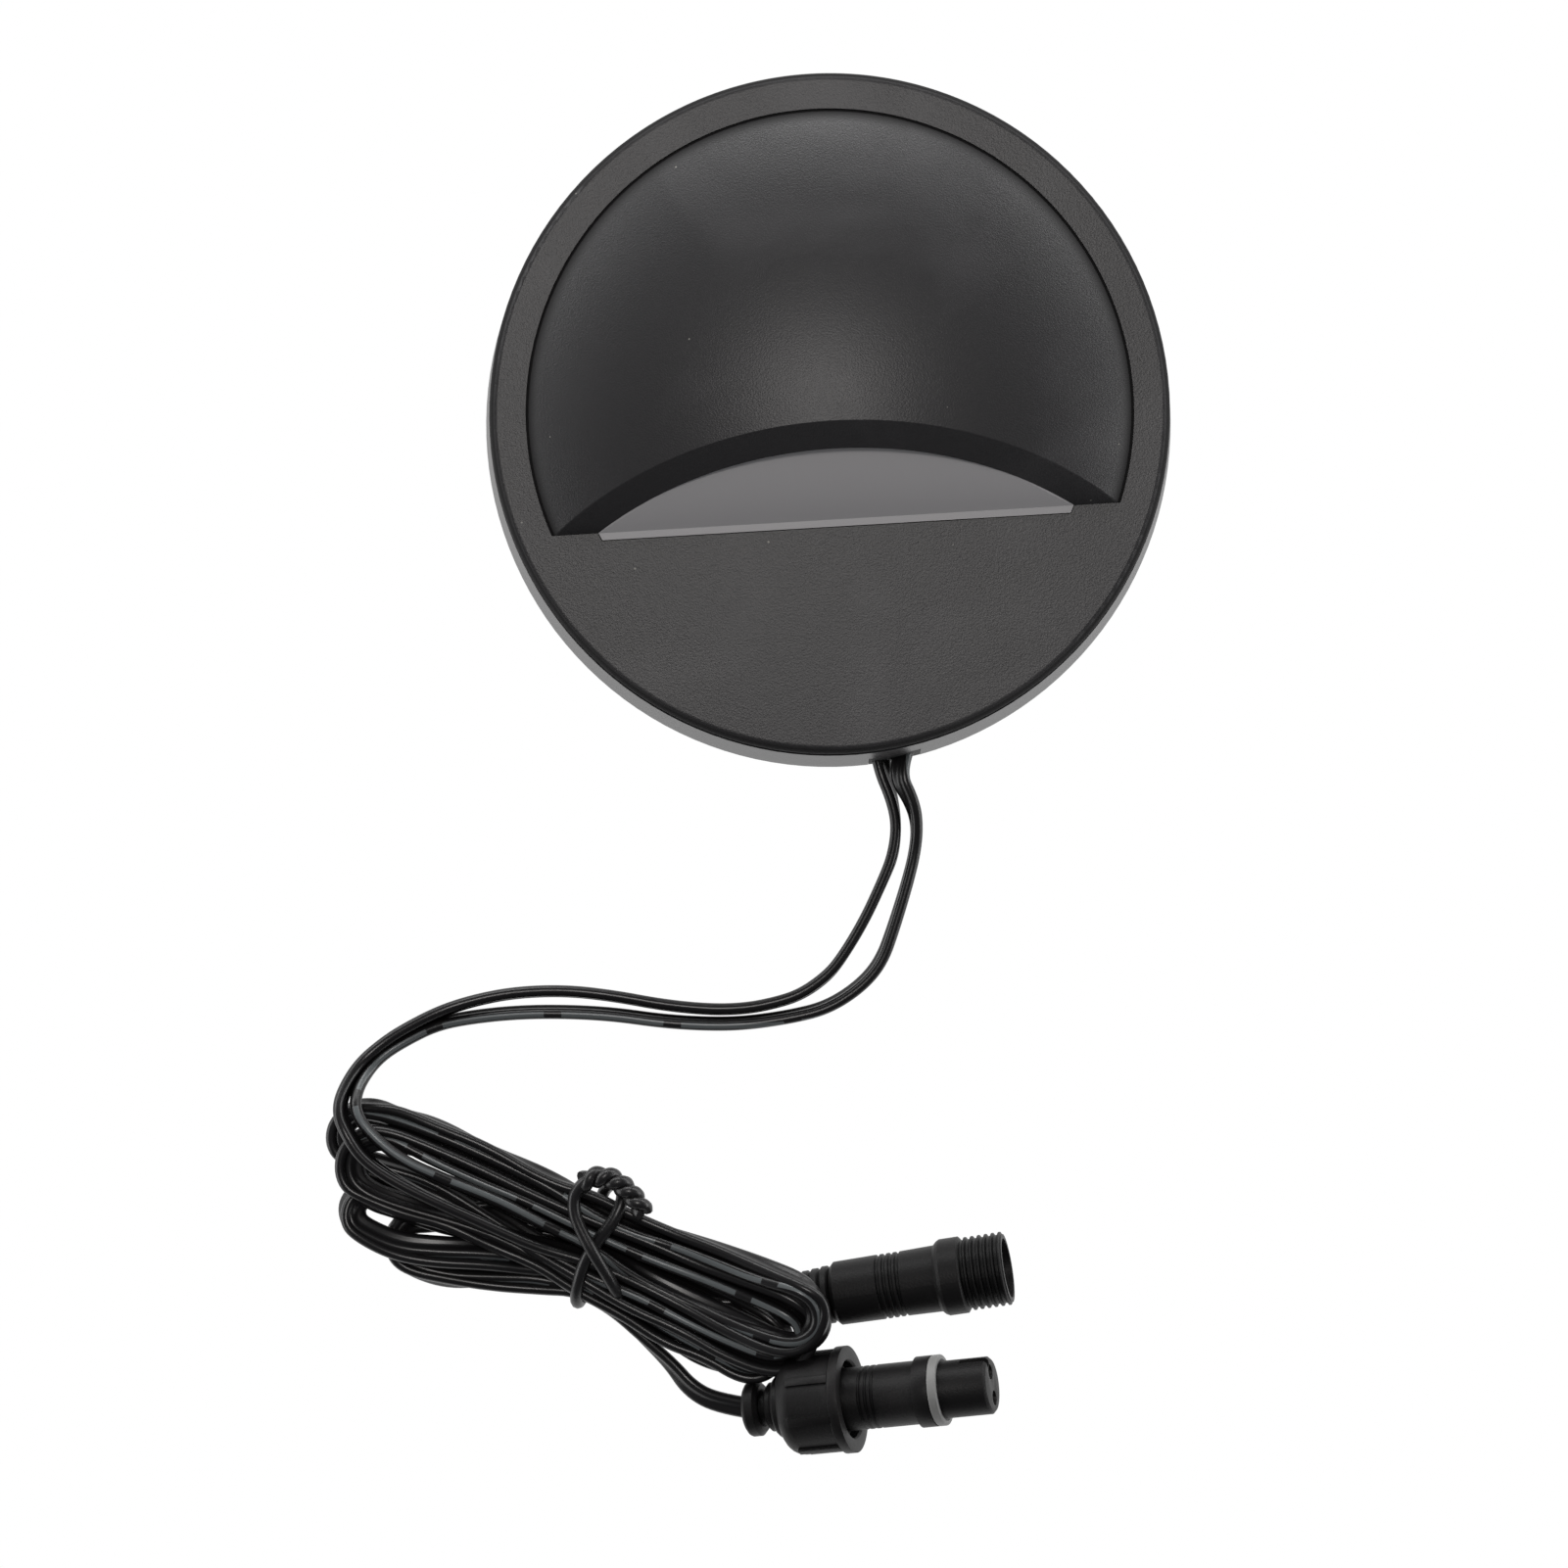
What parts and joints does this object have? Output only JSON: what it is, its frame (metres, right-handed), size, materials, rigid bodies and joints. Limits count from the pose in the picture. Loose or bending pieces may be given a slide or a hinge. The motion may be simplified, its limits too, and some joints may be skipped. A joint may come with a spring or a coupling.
{
  "type": "step light",
  "caption": "Round black eyelid step light with a hooded crescent lens, twist-lock wall plate, and two flat leads with threaded pin and socket connectors.",
  "frame": {"origin": "centre of the wall face, the plane where the housing's rim and the foam ring meet the wall", "axes": "+Z out of the front, +Y to the top of the hood, +X to the right seen from the front"},
  "size_m": [0.1598, 0.2469, 0.0312],
  "materials": {
    "black_cover": "fine-textured black, slightly warm",
    "frosted_lens": "smoked frosted plastic",
    "black_rubber": "matte",
    "white_plastic": "glossy white",
    "white_board": "white solder mask on aluminium",
    "led_yellow": "phosphor yellow",
    "aluminium_sheet": "plain sheet",
    "steel": "stainless",
    "green_board": "green solder mask on glass fibre",
    "black_component": "moulded",
    "capacitor_sleeve": "dark sleeve on an aluminium can",
    "black_housing": "black, drafted side wall with a soft sheen",
    "black_foam": "closed-cell foam",
    "black_plastic": "moulded",
    "black_cord": "satin black jacket",
    "red_insulation": "smooth",
    "black_insulation": "smooth",
    "black_tie": "plastic-coated wire",
    "black_connector": "moulded, satin",
    "plated_contact": "plated",
    "grey_silicone": "grey-white silicone"
  },
  "bodies": {
    "light": {"front_cover": "black_cover", "lens": "frosted_lens", "lens_gasket": "black_rubber", "reflector": "white_plastic", "led_board": "white_board", "leds": "led_yellow", "heat_spreader": "aluminium_sheet", "board_screws": "steel", "driver_board": "green_board", "driver_screws": "steel", "bridge_rectifier": "black_component", "smoothing_capacitor": "capacitor_sleeve", "inductor": "black_component", "driver_chip": "black_component", "resistors": "black_component", "rear_housing": "black_housing", "cover_seal": "black_rubber", "cover_screws": "steel", "wall_gasket": "black_foam", "cable_gland": "black_rubber", "cord_clamp": "black_plastic", "clamp_screws": "steel", "lead_ends": "black_cord", "core_wires_plus": "red_insulation", "core_wires_minus": "black_insulation", "led_feed_wires": "red_insulation", "lead_striped": "black_cord", "lead_plain": "black_cord", "lead_tail": "black_cord", "lead_hank": "black_cord", "twist_tie": "black_tie", "pin_connector_boot": "black_connector", "pin_connector_body": "black_connector", "contact_pins": "plated_contact", "socket_connector_boot": "black_connector", "socket_connector_body": "black_connector", "socket_contacts": "plated_contact", "connector_seal": "grey_silicone"},
    "wall_plate": {"wall_plate": "black_plastic"},
    "coupling_nut": {"coupling_nut": "black_connector"}
  },
  "joints": [
    {"name": "wall_plate_twist", "type": "hinge", "parent": "light", "child": "wall_plate", "pos_m": [0, 0, 0.0015], "axis": [0, 0, 1], "range_deg": [0, 38]},
    {"name": "coupling_nut_spin", "type": "hinge", "parent": "light", "child": "coupling_nut", "pos_m": [-0.01282, -0.17525, 0.00982], "axis": [0.9512, 0.0983, 0.2924], "continuous": true}
  ]
}
